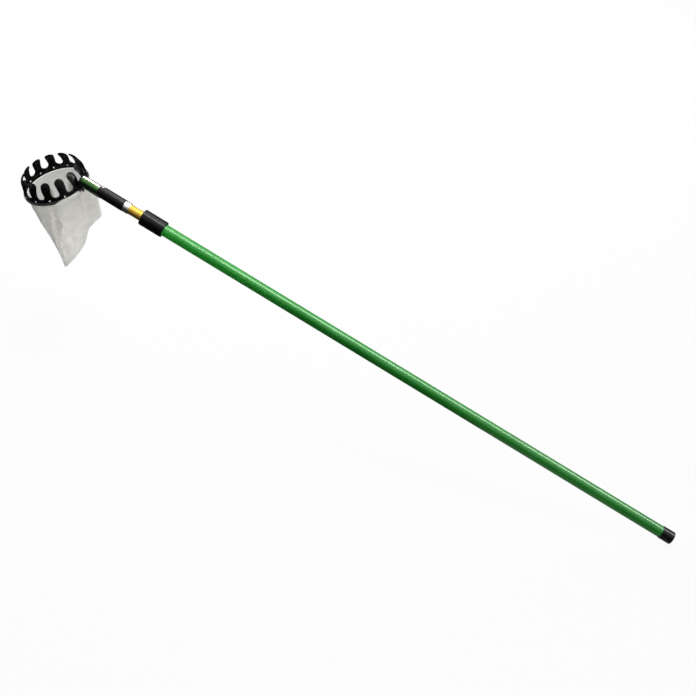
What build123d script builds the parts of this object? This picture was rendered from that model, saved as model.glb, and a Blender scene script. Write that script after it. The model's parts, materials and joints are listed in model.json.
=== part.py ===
from build123d import *
from math import atan, cos, radians, sin, sqrt
import os

os.makedirs("parts", exist_ok=True)

# Telescopic fruit picker: a twist-lock pole with a crown of picking fingers and a cloth bag at its head.
# Millimetres and degrees. The origin is the centre of the butt cap's end face, +Z is up as the tool is
# held, the pole and the crown are symmetrical about the XZ plane, and the head lies towards -X.

# Pose of the pole and of the crown's rim
pole_rise = 15.0
rim_to_pole = 33.2

# Clearances, on the radius or across a gap
fixed_fit = 0.05
running_fit = 0.08
free_gap = 0.4
closed_gap = 1.0

# Outer tube with its cap, collar and guide bush
outer_tube_od = 25.0
outer_tube_wall = 1.0
outer_tube_length = 1261.4
butt_cap_wall = 1.0
butt_cap_end = 3.0
butt_cap_length = 27.0
butt_cap_round = 2.0
collar_wall = 4.6
collar_length = 52.4
collar_lip = 4.0
collar_edge = 0.8
bush_length = 40.0
bush_flange = 2.0

# Inner tube with its ring and tip ferrule
inner_tube_od = 20.8
inner_tube_wall = 1.0
inner_tube_length = 1302.4
ring_wall = 1.4
ring_length = 12.1
ferrule_wall = 2.0
ferrule_grip = 31.7
ferrule_length = 51.6
ferrule_edge = 0.6
spigot_od = 15.0
spigot_wall = 1.5
spigot_length = 33.0

# Twist lock in the inner tube's lower end
stop_thickness = 5.0
stop_od = 16.0
spindle_od = 8.0
spindle_length = 58.0
expander_length = 26.0
expander_floor = 6.0
expander_mouth = 18.0
expander_throat = 11.0
expander_slot = 2.4
expander_slots = 4
cone_recess = 1.5
cone_head = 3.0
cone_head_od = 16.0
cone_rib = 1.6
cone_rib_length = 10.0
lock_lift = 1.0
plug_length = 24.0
plug_flange = 3.0
plug_pin_od = 3.0
plug_pin_height = 10.0

# Head tube with its bush, snap button and leaf spring
head_tube_od = 22.0
head_tube_wall = 1.0
head_tube_length = 39.4
nose_length = 10.3
bush_tail = 17.0
button_od = 6.4
button_proud = 1.6
button_angle = 22.0
button_height = 5.2
button_base = 8.0
button_base_thickness = 0.8
button_base_depth = 4.0
window_gap = 0.4
leaf_thickness = 0.5
leaf_width = 4.0
leaf_length = 22.0

# Crown of picking fingers
crown_radius = 68.0
crown_wall = 2.6
band_height = 11.5
crown_height = 45.0
finger_straight = 22.0
finger_inset = 12.0
finger_count = 13
finger_clocking = 4.0
gap_width = 16.4
tip_gap = 10.4
tip_round = 5.4

# Bag, the ring that clamps its hem, its rivets and the hoop round the rim
hem_thickness = 0.5
clamp_wall = 1.2
clamp_height = 9.0
clamp_low = 2.0
rivet_height = 8.0
rivet_od = 2.6
rivet_head_od = 3.8
rivet_head = 0.8
hoop_wall = 1.8
hoop_height = 6.0
hoop_round = 0.9
hem_turn_up = 5.8
pouch_wall = 1.0
pouch_depth = 242.0
pouch_tip = 4.0

# Bracket between the head tube and the band
saddle_wall = 2.0
saddle_arc = 38.0
saddle_low = 6.0
saddle_high = 15.6
bracket_plug = 16.0
bracket_nose = 3.4
cradle_wall = 2.4
cradle_rim = 1.0
web_width = 13.0
web_depth = 5.6
lug_drop = 2.8
lug_depth = 3.2
tube_end_height = 21.8
screw_od = 4.0
screw_head_od = 7.0
screw_head = 2.4
screw_length = 12.0
screw_setback = 11.0

# Radii and stations along the pole that follow from the sizes above
outer_r = outer_tube_od / 2
outer_bore = outer_r - outer_tube_wall
inner_r = inner_tube_od / 2
inner_bore = inner_r - inner_tube_wall
spindle_r = spindle_od / 2
spigot_r = spigot_od / 2
spigot_bore = spigot_r - spigot_wall
head_tube_r = head_tube_od / 2
head_tube_bore = head_tube_r - head_tube_wall

mouth_station = butt_cap_end + outer_tube_length
lip_station = mouth_station + bush_flange
collar_top = lip_station + collar_lip
collar_low = collar_top - collar_length

# The pole closes until its lock meets the butt cap or its ring meets the collar
expander_height = stop_thickness + free_gap
plug_height = expander_height + expander_length + cone_head + lock_lift + 2 * free_gap
ring_height = plug_height + plug_flange + inner_tube_length - ferrule_grip - ring_length
stop_low = max(butt_cap_end + free_gap, collar_top + closed_gap - ring_height)
expander_low = stop_low + expander_height
expander_top = expander_low + expander_length
plug_low = stop_low + plug_height
inner_low = plug_low + plug_flange
inner_top = inner_low + inner_tube_length
ferrule_low = inner_top - ferrule_grip
ferrule_top = ferrule_low + ferrule_length
ring_low = ferrule_low - ring_length
spigot_top = ferrule_top + spigot_length
nose_top = ferrule_top + nose_length
head_tube_top = nose_top + head_tube_length
button_station = ferrule_top + button_height

# Frame of the pole: stations run along it from the butt to the head, and radii lie above it
rise = radians(pole_rise)
along = Vector(-cos(rise), 0, sin(rise))
above = Vector(sin(rise), 0, cos(rise))
pole = Plane(origin=(0, 0, 0), x_dir=above, z_dir=along)
pole_axis = Axis((0, 0, 0), along)

# Frame of the crown: the rim's centre, the way up through the crown and the way back to the butt
tilt = radians(rim_to_pole - pole_rise)
rim_up = Vector(-sin(tilt), 0, cos(tilt))
to_butt = Vector(cos(tilt), 0, sin(tilt))
band_bore = crown_radius - crown_wall
saddle_r = crown_radius + fixed_fit + saddle_wall
tube_reach = saddle_r + head_tube_r * sin(radians(rim_to_pole)) + fixed_fit
rim_centre = along * head_tube_top - to_butt * tube_reach - rim_up * tube_end_height
rim = Plane(origin=rim_centre, x_dir=to_butt, z_dir=rim_up)
rim_section = Plane(origin=rim_centre, x_dir=to_butt, z_dir=(0, -1, 0))
rim_axis = Axis(rim_centre, rim_up)


def spoke(angle):
    # Plane that looks out from the rim's centre: x runs round the rim and y up through the crown
    turn = radians(angle)
    outward = to_butt * cos(turn) + Vector(0, 1, 0) * sin(turn)
    return Plane(origin=rim_centre, x_dir=rim_up.cross(outward), z_dir=outward)


finger_pitch = 360 / finger_count
gap_spokes = [spoke(finger_clocking + finger_pitch * i) for i in range(finger_count)]
finger_angles = [finger_clocking + finger_pitch * (i + 0.5) for i in range(finger_count)]
finger_spokes = [spoke(angle) for angle in finger_angles]
bracket_spokes = [finger_spokes[0], finger_spokes[-1]]
bag_spokes = finger_spokes[1:-1]

# Outer tube
with BuildPart() as outer_tube:
    with BuildSketch(pole.offset(butt_cap_end)):
        Circle(outer_r)
        Circle(outer_bore, mode=Mode.SUBTRACT)
    extrude(amount=outer_tube_length)
outer_tube.part.label = "outer_tube"
export_step(outer_tube.part, "parts/outer_tube.step")

# Butt cap: a skirt over the tube and an end wall with a rounded edge
with BuildPart() as butt_cap:
    with BuildSketch(pole):
        Circle(outer_r + fixed_fit + butt_cap_wall)
    extrude(amount=butt_cap_length)
    fillet(butt_cap.edges().sort_by(pole_axis)[0], butt_cap_round)
    with BuildSketch(pole.offset(butt_cap_end)):
        Circle(outer_r + fixed_fit)
    extrude(amount=butt_cap_length, mode=Mode.SUBTRACT)
butt_cap.part.label = "butt_cap"
export_step(butt_cap.part, "parts/butt_cap.step")

# Guide collar: a plain sleeve round the outer tube's mouth with a lip that holds the bush in
with BuildPart() as guide_collar:
    with BuildSketch(pole.offset(collar_low)):
        Circle(outer_r + fixed_fit + collar_wall)
    extrude(amount=collar_length)
    chamfer(guide_collar.edges(), collar_edge)
    with BuildSketch(pole.offset(collar_low)):
        Circle(outer_r + fixed_fit)
    extrude(amount=lip_station - collar_low, mode=Mode.SUBTRACT)
    with BuildSketch(pole.offset(lip_station)):
        Circle(inner_r + free_gap)
    extrude(amount=collar_lip, mode=Mode.SUBTRACT)
guide_collar.part.label = "guide_collar"
export_step(guide_collar.part, "parts/guide_collar.step")

# Guide bush: nylon sleeve in the tube's mouth, flanged over its end
with BuildPart() as guide_bush:
    with BuildSketch(pole.offset(mouth_station - bush_length)):
        Circle(outer_bore - fixed_fit)
    extrude(amount=bush_length)
    with BuildSketch(pole.offset(mouth_station)):
        Circle(outer_r)
    extrude(amount=bush_flange)
    with BuildSketch(pole.offset(mouth_station - bush_length)):
        Circle(inner_r + running_fit)
    extrude(amount=bush_length + bush_flange, mode=Mode.SUBTRACT)
guide_bush.part.label = "guide_bush"
export_step(guide_bush.part, "parts/guide_bush.step")

# Inner tube
with BuildPart() as inner_tube:
    with BuildSketch(pole.offset(inner_low)):
        Circle(inner_r)
        Circle(inner_bore, mode=Mode.SUBTRACT)
    extrude(amount=inner_tube_length)
inner_tube.part.label = "inner_tube"
export_step(inner_tube.part, "parts/inner_tube.step")

# Ferrule ring: thin bright band round the inner tube, under the tip ferrule
with BuildPart() as ferrule_ring:
    with BuildSketch(pole.offset(ring_low)):
        Circle(inner_r + fixed_fit + ring_wall)
        Circle(inner_r + fixed_fit, mode=Mode.SUBTRACT)
    extrude(amount=ring_length)
ferrule_ring.part.label = "ferrule_ring"
export_step(ferrule_ring.part, "parts/ferrule_ring.step")

# Tip ferrule: sleeve over the inner tube's end with a hollow spigot for the head
ferrule_r = inner_r + fixed_fit + ferrule_wall
button_turn = radians(button_angle)
button_out = above * cos(button_turn) + Vector(0, 1, 0) * sin(button_turn)
button_plane = Plane(origin=along * button_station, x_dir=along, z_dir=button_out)
with BuildPart() as tip_ferrule:
    with BuildSketch(pole.offset(ferrule_low)):
        Circle(ferrule_r)
    extrude(amount=ferrule_length)
    chamfer(tip_ferrule.edges(), ferrule_edge)
    with BuildSketch(pole.offset(ferrule_top)):
        Circle(spigot_r)
    extrude(amount=spigot_length)
    chamfer(tip_ferrule.edges().sort_by(pole_axis)[-1], ferrule_edge)
    with BuildSketch(pole.offset(ferrule_low)):
        Circle(inner_r + fixed_fit)
    extrude(amount=ferrule_grip, mode=Mode.SUBTRACT)
    with BuildSketch(pole.offset(inner_top)):
        Circle(spigot_bore)
    extrude(amount=spigot_top - inner_top, mode=Mode.SUBTRACT)
    with BuildSketch(button_plane):
        Circle(button_od / 2 + running_fit)
    extrude(amount=head_tube_od, mode=Mode.SUBTRACT)
tip_ferrule.part.label = "tip_ferrule"
export_step(tip_ferrule.part, "parts/tip_ferrule.step")

# Spindle stop: disc on the spindle's lower end that carries the expander
with BuildPart() as spindle_stop:
    with BuildSketch(pole.offset(stop_low)):
        Circle(stop_od / 2)
        Circle(spindle_r + fixed_fit, mode=Mode.SUBTRACT)
    extrude(amount=stop_thickness)
spindle_stop.part.label = "spindle_stop"
export_step(spindle_stop.part, "parts/spindle_stop.step")

# Lock spindle: threaded rod, drawn at the thread's outside
pin_station = inner_low + plug_pin_height
pin_plane = Plane(origin=along * pin_station, x_dir=along, z_dir=(0, 1, 0))
with BuildPart() as lock_spindle:
    with BuildSketch(pole.offset(stop_low)):
        Circle(spindle_r)
    extrude(amount=spindle_length)
    with BuildSketch(pin_plane):
        Circle(plug_pin_od / 2 + fixed_fit)
    extrude(amount=inner_r, both=True, mode=Mode.SUBTRACT)
lock_spindle.part.label = "lock_spindle"
export_step(lock_spindle.part, "parts/lock_spindle.step")

# Expander sleeve: slotted sleeve with a tapered bore, running in the outer tube
taper_low = expander_low + expander_floor
taper = (expander_mouth - expander_throat) / 2 / (expander_top - taper_low)
slot_planes = [
    Plane(origin=along * expander_top, x_dir=above.rotate(pole_axis, 360 / expander_slots * i), z_dir=along)
    for i in range(expander_slots)
]
with BuildPart() as expander_sleeve:
    with BuildSketch(pole.offset(expander_low)):
        Circle(outer_bore - running_fit)
    extrude(amount=expander_length)
    with BuildSketch(pole.offset(taper_low)):
        Circle(expander_throat / 2)
    with BuildSketch(pole.offset(expander_top)):
        Circle(expander_mouth / 2)
    loft(mode=Mode.SUBTRACT)
    with BuildSketch(pole.offset(expander_low)):
        Circle(spindle_r + free_gap)
    extrude(amount=expander_length, mode=Mode.SUBTRACT)
    with BuildSketch(*slot_planes):
        with Locations((outer_bore / 2, 0)):
            Rectangle(outer_bore, expander_slot)
    extrude(amount=taper_low - expander_top, mode=Mode.SUBTRACT)
expander_sleeve.part.label = "expander_sleeve"
export_step(expander_sleeve.part, "parts/expander_sleeve.step")

# Cone nut: tapered nut on the spindle, keyed to the expander's slots by ribs
cone_low = taper_low + cone_recess
cone_small = expander_throat / 2 + taper * cone_recess - running_fit
cone_large = expander_mouth / 2 - running_fit
rib_reach = outer_bore - 2 * free_gap
with BuildPart() as cone_nut:
    with BuildSketch(pole.offset(cone_low)):
        Circle(cone_small)
    with BuildSketch(pole.offset(expander_top)):
        Circle(cone_large)
    loft()
    with BuildSketch(pole.offset(expander_top)):
        Circle(cone_head_od / 2)
    extrude(amount=cone_head)
    with BuildSketch(*slot_planes):
        with Locations((rib_reach / 2, 0)):
            Rectangle(rib_reach, cone_rib)
    extrude(amount=-cone_rib_length)
    with BuildSketch(pole.offset(cone_low)):
        Circle(spindle_r + running_fit)
    extrude(amount=expander_length, mode=Mode.SUBTRACT)
cone_nut.part.label = "cone_nut"
export_step(cone_nut.part, "parts/cone_nut.step")

# Spindle plug: flanged plug in the inner tube's end, pinned to the spindle
with BuildPart() as spindle_plug:
    with BuildSketch(pole.offset(plug_low)):
        Circle(inner_r)
    extrude(amount=plug_flange)
    with BuildSketch(pole.offset(inner_low)):
        Circle(inner_bore - fixed_fit)
    extrude(amount=plug_length)
    with BuildSketch(pole.offset(plug_low)):
        Circle(spindle_r + fixed_fit)
    extrude(amount=plug_flange + plug_length, mode=Mode.SUBTRACT)
    with BuildSketch(pin_plane):
        Circle(plug_pin_od / 2 + fixed_fit)
    extrude(amount=inner_r, both=True, mode=Mode.SUBTRACT)
spindle_plug.part.label = "spindle_plug"
export_step(spindle_plug.part, "parts/spindle_plug.step")

# Plug pin: cross pin through the plug and the spindle
with BuildPart() as plug_pin:
    with BuildSketch(pin_plane):
        Circle(plug_pin_od / 2)
    extrude(amount=inner_bore - free_gap, both=True)
plug_pin.part.label = "plug_pin"
export_step(plug_pin.part, "parts/plug_pin.step")

# Socket bush: the black nose under the head tube, with a tail inside it and a U-shaped button window
window_width = button_od + 2 * window_gap
with BuildPart() as socket_bush:
    with BuildSketch(pole.offset(ferrule_top)):
        Circle(head_tube_r)
    extrude(amount=nose_length)
    with BuildSketch(pole.offset(nose_top)):
        Circle(head_tube_bore - fixed_fit)
    extrude(amount=bush_tail)
    with BuildSketch(pole.offset(ferrule_top)):
        Circle(spigot_r + fixed_fit)
    extrude(amount=nose_length + bush_tail, mode=Mode.SUBTRACT)
    with BuildSketch(button_plane):
        Circle(window_width / 2)
        with Locations(((nose_length - button_height) / 2, 0)):
            Rectangle(nose_length - button_height, window_width)
    extrude(amount=head_tube_od, mode=Mode.SUBTRACT)
socket_bush.part.label = "socket_bush"
export_step(socket_bush.part, "parts/socket_bush.step")

# Head tube
screw_station = head_tube_top - screw_setback
screw_plane = Plane(origin=along * screw_station, x_dir=along, z_dir=-above)
with BuildPart() as head_tube:
    with BuildSketch(pole.offset(nose_top)):
        Circle(head_tube_r)
        Circle(head_tube_bore, mode=Mode.SUBTRACT)
    extrude(amount=head_tube_length)
    with BuildSketch(screw_plane):
        Circle(screw_od / 2 + fixed_fit)
    extrude(amount=head_tube_od, mode=Mode.SUBTRACT)
head_tube.part.label = "head_tube"
export_step(head_tube.part, "parts/head_tube.step")

# Snap button: domed plunger with a base flange inside the spigot
button_top = head_tube_r + button_proud
button_r = button_od / 2
with BuildPart() as snap_button:
    with BuildSketch(button_plane.offset(button_base_depth - button_base_thickness)):
        Circle(button_base / 2)
    extrude(amount=button_base_thickness)
    with BuildSketch(button_plane.offset(button_base_depth)):
        Circle(button_r)
    extrude(amount=button_top - button_base_depth)
    fillet(snap_button.edges().sort_by(Axis(button_plane.origin, button_out))[-1], button_r / 2)
snap_button.part.label = "snap_button"
export_step(snap_button.part, "parts/snap_button.step")

# Button spring: bent leaf inside the spigot, one leg under the button and one on the far wall
leaf_top = button_base_depth - button_base_thickness - fixed_fit
leaf_low = -sqrt(spigot_bore**2 - (leaf_width / 2) ** 2) + free_gap / 2
leaf_bend = (leaf_top - leaf_low) / 2
leaf_back = -button_base / 2
leaf_plane = Plane(origin=along * button_station, x_dir=along, z_dir=along.cross(button_out))
with BuildPart() as button_spring:
    with BuildSketch(leaf_plane):
        with BuildLine():
            upper = Line((leaf_back, leaf_top - leaf_thickness), (leaf_length, leaf_top - leaf_thickness))
            bend = TangentArc(upper @ 1, (leaf_length, leaf_low + leaf_thickness), tangent=(1, 0))
            lower = Line(bend @ 1, (leaf_back, leaf_low + leaf_thickness))
            Line(lower @ 1, (leaf_back, leaf_low))
            under = Line((leaf_back, leaf_low), (leaf_length, leaf_low))
            outside = TangentArc(under @ 1, (leaf_length, leaf_top), tangent=(1, 0))
            over = Line(outside @ 1, (leaf_back, leaf_top))
            Line(over @ 1, upper @ 0)
        make_face()
    extrude(amount=leaf_width / 2, both=True)
button_spring.part.label = "button_spring"
export_step(button_spring.part, "parts/button_spring.step")

# Crown: a turned shell whose upper part leans inwards, cut by one U-shaped gap between each two fingers
finger_rise = crown_height - finger_straight
finger_lean = 2 * atan(finger_inset / finger_rise)
lean_radius = finger_rise / sin(finger_lean)
lean_centre = crown_radius - lean_radius
tip_out = (lean_centre + lean_radius * cos(finger_lean), finger_straight + lean_radius * sin(finger_lean))
inner_lean = lean_radius - crown_wall
tip_in = (lean_centre + inner_lean * cos(finger_lean), finger_straight + inner_lean * sin(finger_lean))
half_lean = finger_lean / 2
lean_out = (lean_centre + lean_radius * cos(half_lean), finger_straight + lean_radius * sin(half_lean))
lean_in = (lean_centre + inner_lean * cos(half_lean), finger_straight + inner_lean * sin(half_lean))
tip_offset = (crown_radius - finger_inset) * sin(radians(finger_pitch / 2))
tip_start = crown_height - tip_round
gap_r = gap_width / 2
with BuildPart() as crown:
    with BuildSketch(rim_section):
        with BuildLine():
            Line((band_bore, 0), (crown_radius, 0))
            Line((crown_radius, 0), (crown_radius, finger_straight))
            ThreePointArc((crown_radius, finger_straight), lean_out, tip_out)
            Line(tip_out, tip_in)
            ThreePointArc(tip_in, lean_in, (band_bore, finger_straight))
            Line((band_bore, finger_straight), (band_bore, 0))
        make_face()
    revolve(axis=rim_axis)
    with BuildSketch(*[plane.offset(crown_radius / 2) for plane in gap_spokes]):
        with BuildLine():
            bottom = CenterArc((0, band_height + gap_r), gap_r, 180, 180)
            Line(bottom @ 1, (tip_gap / 2, tip_start))
            EllipticalCenterArc((tip_offset, tip_start), tip_offset - tip_gap / 2, tip_round, 90, arc_size=90)
            Polyline(
                (tip_offset, crown_height),
                (tip_offset, crown_height + tip_round),
                (-tip_offset, crown_height + tip_round),
                (-tip_offset, crown_height),
            )
            EllipticalCenterArc((-tip_offset, tip_start), tip_offset - tip_gap / 2, tip_round, 0, arc_size=90)
            Line((-tip_gap / 2, tip_start), bottom @ 0)
        make_face()
    extrude(amount=crown_radius, mode=Mode.SUBTRACT)
    with BuildSketch(*[plane.offset(crown_radius / 2) for plane in finger_spokes]):
        with Locations((0, rivet_height)):
            Circle(rivet_od / 2 + fixed_fit)
    extrude(amount=crown_radius, mode=Mode.SUBTRACT)
crown.part.label = "crown"
export_step(crown.part, "parts/crown.step")

# Clamp ring: inner ring that pinches the bag's hem against the band
hem_r = band_bore - fixed_fit
clamp_r = hem_r - hem_thickness - fixed_fit
clamp_bore = clamp_r - clamp_wall
with BuildPart() as clamp_ring:
    with BuildSketch(rim.offset(clamp_low)):
        Circle(clamp_r)
        Circle(clamp_bore, mode=Mode.SUBTRACT)
    extrude(amount=clamp_height)
    with BuildSketch(*[plane.offset(crown_radius / 2) for plane in finger_spokes]):
        with Locations((0, rivet_height)):
            Circle(rivet_od / 2 + fixed_fit)
    extrude(amount=crown_radius, mode=Mode.SUBTRACT)
clamp_ring.part.label = "clamp_ring"
export_step(clamp_ring.part, "parts/clamp_ring.step")

# Bag: a sagging pouch under a hem that goes up inside the band and turns up outside its lower edge
pouch_sections = [
    # depth under the rim's centre, shift towards the butt, half width along X, half width along Y
    (32.0, 12.0, 73.0, 62.5),
    (60.0, 20.0, 74.0, 57.0),
    (92.0, 14.0, 58.0, 48.0),
    (130.0, 13.0, 44.0, 39.0),
    (178.0, 12.0, 27.0, 25.0),
    (214.0, 7.5, 13.0, 12.0),
]
turn_up_r = crown_radius + fixed_fit + hem_thickness
pouch_mouth_r = crown_radius - crown_wall / 2
pouch_top = -hem_thickness / 2


def pouch_plane(depth, shift):
    # The pouch's sections lean with the rim at the mouth and lie level at the tip
    lean = tilt * (1 - depth / pouch_depth)
    centre = rim_centre + Vector(shift, 0, -depth)
    return Plane(origin=centre, x_dir=(cos(lean), 0, sin(lean)), z_dir=(-sin(lean), 0, cos(lean)))


with BuildPart() as bag:
    with BuildSketch(rim.offset(pouch_top)):
        Circle(pouch_mouth_r)
    for depth, shift, half_x, half_y in pouch_sections:
        with BuildSketch(pouch_plane(depth, shift)):
            Ellipse(half_x, half_y)
    with BuildSketch(pouch_plane(pouch_depth, 0)):
        Ellipse(pouch_tip, pouch_tip)
    loft()
    with BuildSketch(rim.offset(pouch_top)):
        Circle(pouch_mouth_r - pouch_wall)
    for depth, shift, half_x, half_y in pouch_sections:
        with BuildSketch(pouch_plane(depth, shift)):
            Ellipse(half_x - pouch_wall, half_y - pouch_wall)
    with BuildSketch(pouch_plane(pouch_depth - 2 * pouch_wall, 0)):
        Ellipse(pouch_tip - pouch_wall, pouch_tip - pouch_wall)
    loft(mode=Mode.SUBTRACT)
    with BuildSketch(rim_section):
        with BuildLine():
            Polyline(
                (hem_r - hem_thickness, -hem_thickness - fixed_fit),
                (turn_up_r, -hem_thickness - fixed_fit),
                (turn_up_r, hem_turn_up),
                (crown_radius + fixed_fit, hem_turn_up),
                (crown_radius + fixed_fit, -fixed_fit),
                (hem_r, -fixed_fit),
                (hem_r, clamp_low + clamp_height),
                (hem_r - hem_thickness, clamp_low + clamp_height),
                close=True,
            )
        make_face()
    revolve(axis=rim_axis)
    with BuildSketch(*[plane.offset(crown_radius / 2) for plane in finger_spokes]):
        with Locations((0, rivet_height)):
            Circle(rivet_od / 2 + fixed_fit)
    extrude(amount=crown_radius / 2, mode=Mode.SUBTRACT)
bag.part.label = "bag"
export_step(bag.part, "parts/bag.step")

# Rim hoop: grey strip round the band's lower edge that pinches the turned-up hem
hoop_bore = turn_up_r + fixed_fit
with BuildPart() as rim_hoop:
    with BuildSketch(rim.offset(-hem_thickness)):
        Circle(hoop_bore + hoop_wall)
        Circle(hoop_bore, mode=Mode.SUBTRACT)
    extrude(amount=hoop_height)
    fillet(rim_hoop.edges().filter_by(GeomType.CIRCLE).sort_by(SortBy.RADIUS)[-2:], hoop_round)
rim_hoop.part.label = "rim_hoop"
export_step(rim_hoop.part, "parts/rim_hoop.step")

# Bag rivets: white studs through the band, the hem and the clamp ring
rivet_in = clamp_bore - free_gap / 2
with BuildPart() as bag_rivets:
    with BuildSketch(*[plane.offset(rivet_in) for plane in bag_spokes]):
        with Locations((0, rivet_height)):
            Circle(rivet_od / 2)
    extrude(amount=crown_radius + fixed_fit - rivet_in)
    with BuildSketch(*[plane.offset(crown_radius + fixed_fit) for plane in bag_spokes]):
        with Locations((0, rivet_height)):
            Circle(rivet_head_od / 2)
    extrude(amount=rivet_head)
    with BuildSketch(*[plane.offset(rivet_in - rivet_head) for plane in bag_spokes]):
        with Locations((0, rivet_height)):
            Circle(rivet_head_od / 2)
    extrude(amount=rivet_head)
bag_rivets.part.label = "bag_rivets"
export_step(bag_rivets.part, "parts/bag_rivets.step")

# Head bracket: saddle on the band, web and lug, a cradle under the tube and a plug inside its end
saddle_turn = radians(finger_clocking - saddle_arc / 2)
saddle_out = to_butt * cos(saddle_turn) + Vector(0, 1, 0) * sin(saddle_turn)
saddle_section = Plane(origin=rim_centre, x_dir=saddle_out, z_dir=saddle_out.cross(rim_up))
lug_in = hoop_bore + hoop_wall + free_gap / 2
cradle_r = head_tube_r + fixed_fit + cradle_wall
cradle_low = ferrule_top + free_gap
with BuildPart() as head_bracket:
    with BuildSketch(saddle_section):
        with Locations((saddle_r - saddle_wall / 2, (saddle_low + saddle_high) / 2)):
            Rectangle(saddle_wall, saddle_high - saddle_low)
    revolve(axis=rim_axis, revolution_arc=saddle_arc)
    with BuildSketch(rim_section):
        with BuildLine():
            Polyline(
                (crown_radius, saddle_low),
                (lug_in, saddle_low),
                (lug_in, -lug_drop),
                (lug_in + lug_depth, -lug_drop),
                (saddle_r + web_depth, saddle_low),
                (saddle_r + web_depth, saddle_high),
                (crown_radius, saddle_high),
                close=True,
            )
        make_face()
    extrude(amount=web_width / 2, both=True)
    with BuildSketch(pole.offset(cradle_low)):
        Circle(cradle_r)
        with Locations((cradle_r - cradle_rim, 0)):
            Rectangle(2 * cradle_r, 2 * cradle_r, mode=Mode.SUBTRACT)
    extrude(amount=head_tube_top - cradle_low)
    with BuildSketch(pole.offset(cradle_low)):
        Circle(head_tube_r + fixed_fit)
    extrude(amount=head_tube_top - cradle_low, mode=Mode.SUBTRACT)
    with BuildSketch(pole.offset(head_tube_top - bracket_plug)):
        Circle(head_tube_bore - fixed_fit)
    extrude(amount=bracket_plug)
    with BuildSketch(pole.offset(head_tube_top)):
        Circle(head_tube_r)
    extrude(amount=bracket_nose)
    with BuildSketch(rim):
        Circle(crown_radius + fixed_fit)
    extrude(amount=crown_height, mode=Mode.SUBTRACT)
    with BuildSketch(*[plane.offset(crown_radius) for plane in bracket_spokes]):
        with Locations((0, rivet_height)):
            Circle(rivet_od / 2 + fixed_fit)
    extrude(amount=2 * saddle_wall, mode=Mode.SUBTRACT)
    with BuildSketch(screw_plane.offset(cradle_r - screw_length - free_gap)):
        Circle(screw_od / 2 + fixed_fit)
    extrude(amount=screw_length + screw_head, mode=Mode.SUBTRACT)
    with BuildSketch(screw_plane.offset(cradle_r)):
        Circle(screw_head_od / 2 + free_gap)
    extrude(amount=cradle_r, mode=Mode.SUBTRACT)
head_bracket.part.label = "head_bracket"
export_step(head_bracket.part, "parts/head_bracket.step")

# Bracket rivets: through the saddle, the band, the hem and the clamp ring
with BuildPart() as bracket_rivets:
    with BuildSketch(*[plane.offset(rivet_in) for plane in bracket_spokes]):
        with Locations((0, rivet_height)):
            Circle(rivet_od / 2)
    extrude(amount=saddle_r + fixed_fit - rivet_in)
    with BuildSketch(*[plane.offset(saddle_r + fixed_fit) for plane in bracket_spokes]):
        with Locations((0, rivet_height)):
            Circle(rivet_head_od / 2)
    extrude(amount=rivet_head)
    with BuildSketch(*[plane.offset(rivet_in - rivet_head) for plane in bracket_spokes]):
        with Locations((0, rivet_height)):
            Circle(rivet_head_od / 2)
    extrude(amount=rivet_head)
bracket_rivets.part.label = "bracket_rivets"
export_step(bracket_rivets.part, "parts/bracket_rivets.step")

# Tube screw: from below through the cradle and the head tube into the bracket's plug
with BuildPart() as tube_screw:
    with BuildSketch(screw_plane.offset(cradle_r - screw_length)):
        Circle(screw_od / 2)
    extrude(amount=screw_length + fixed_fit)
    with BuildSketch(screw_plane.offset(cradle_r + fixed_fit)):
        Circle(screw_head_od / 2)
    extrude(amount=screw_head)
    fillet(tube_screw.edges().sort_by(Axis(screw_plane.origin, -above))[-1], screw_head / 2)
tube_screw.part.label = "tube_screw"
export_step(tube_screw.part, "parts/tube_screw.step")
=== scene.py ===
import json
from math import asin, cos, degrees, exp, pi, radians, sin, sqrt

import bpy
from mathutils import Matrix, Quaternion, Vector, noise


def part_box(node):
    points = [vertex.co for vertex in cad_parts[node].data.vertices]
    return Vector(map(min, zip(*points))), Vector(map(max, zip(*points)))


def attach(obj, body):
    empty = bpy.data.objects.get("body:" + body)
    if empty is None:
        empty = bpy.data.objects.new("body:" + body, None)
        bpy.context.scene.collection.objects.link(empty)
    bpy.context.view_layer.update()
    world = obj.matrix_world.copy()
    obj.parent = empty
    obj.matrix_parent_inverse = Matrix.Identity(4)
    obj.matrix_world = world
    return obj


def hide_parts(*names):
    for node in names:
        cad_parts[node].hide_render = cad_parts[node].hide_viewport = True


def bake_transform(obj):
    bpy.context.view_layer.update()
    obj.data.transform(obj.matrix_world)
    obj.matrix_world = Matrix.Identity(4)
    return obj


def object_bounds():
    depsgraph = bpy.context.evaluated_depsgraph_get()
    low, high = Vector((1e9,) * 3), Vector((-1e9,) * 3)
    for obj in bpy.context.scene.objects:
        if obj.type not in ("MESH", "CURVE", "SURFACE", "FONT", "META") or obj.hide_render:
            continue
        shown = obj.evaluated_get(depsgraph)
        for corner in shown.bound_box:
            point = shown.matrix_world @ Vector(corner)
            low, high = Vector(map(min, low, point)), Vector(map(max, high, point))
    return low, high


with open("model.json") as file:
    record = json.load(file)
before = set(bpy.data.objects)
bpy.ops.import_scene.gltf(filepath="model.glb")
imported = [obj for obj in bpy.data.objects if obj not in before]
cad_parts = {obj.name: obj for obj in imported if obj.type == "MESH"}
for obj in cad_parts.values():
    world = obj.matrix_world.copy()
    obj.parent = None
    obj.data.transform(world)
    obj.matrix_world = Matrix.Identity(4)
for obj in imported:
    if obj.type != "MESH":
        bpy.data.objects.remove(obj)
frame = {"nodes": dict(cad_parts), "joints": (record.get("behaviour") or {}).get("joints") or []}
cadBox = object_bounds()
scene = bpy.context.scene
scene.view_settings.view_transform = "Standard"


def jointAxis(name):
    return Vector(next(j["axis"] for j in frame["joints"] if j["name"] == name)).normalized()


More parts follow.
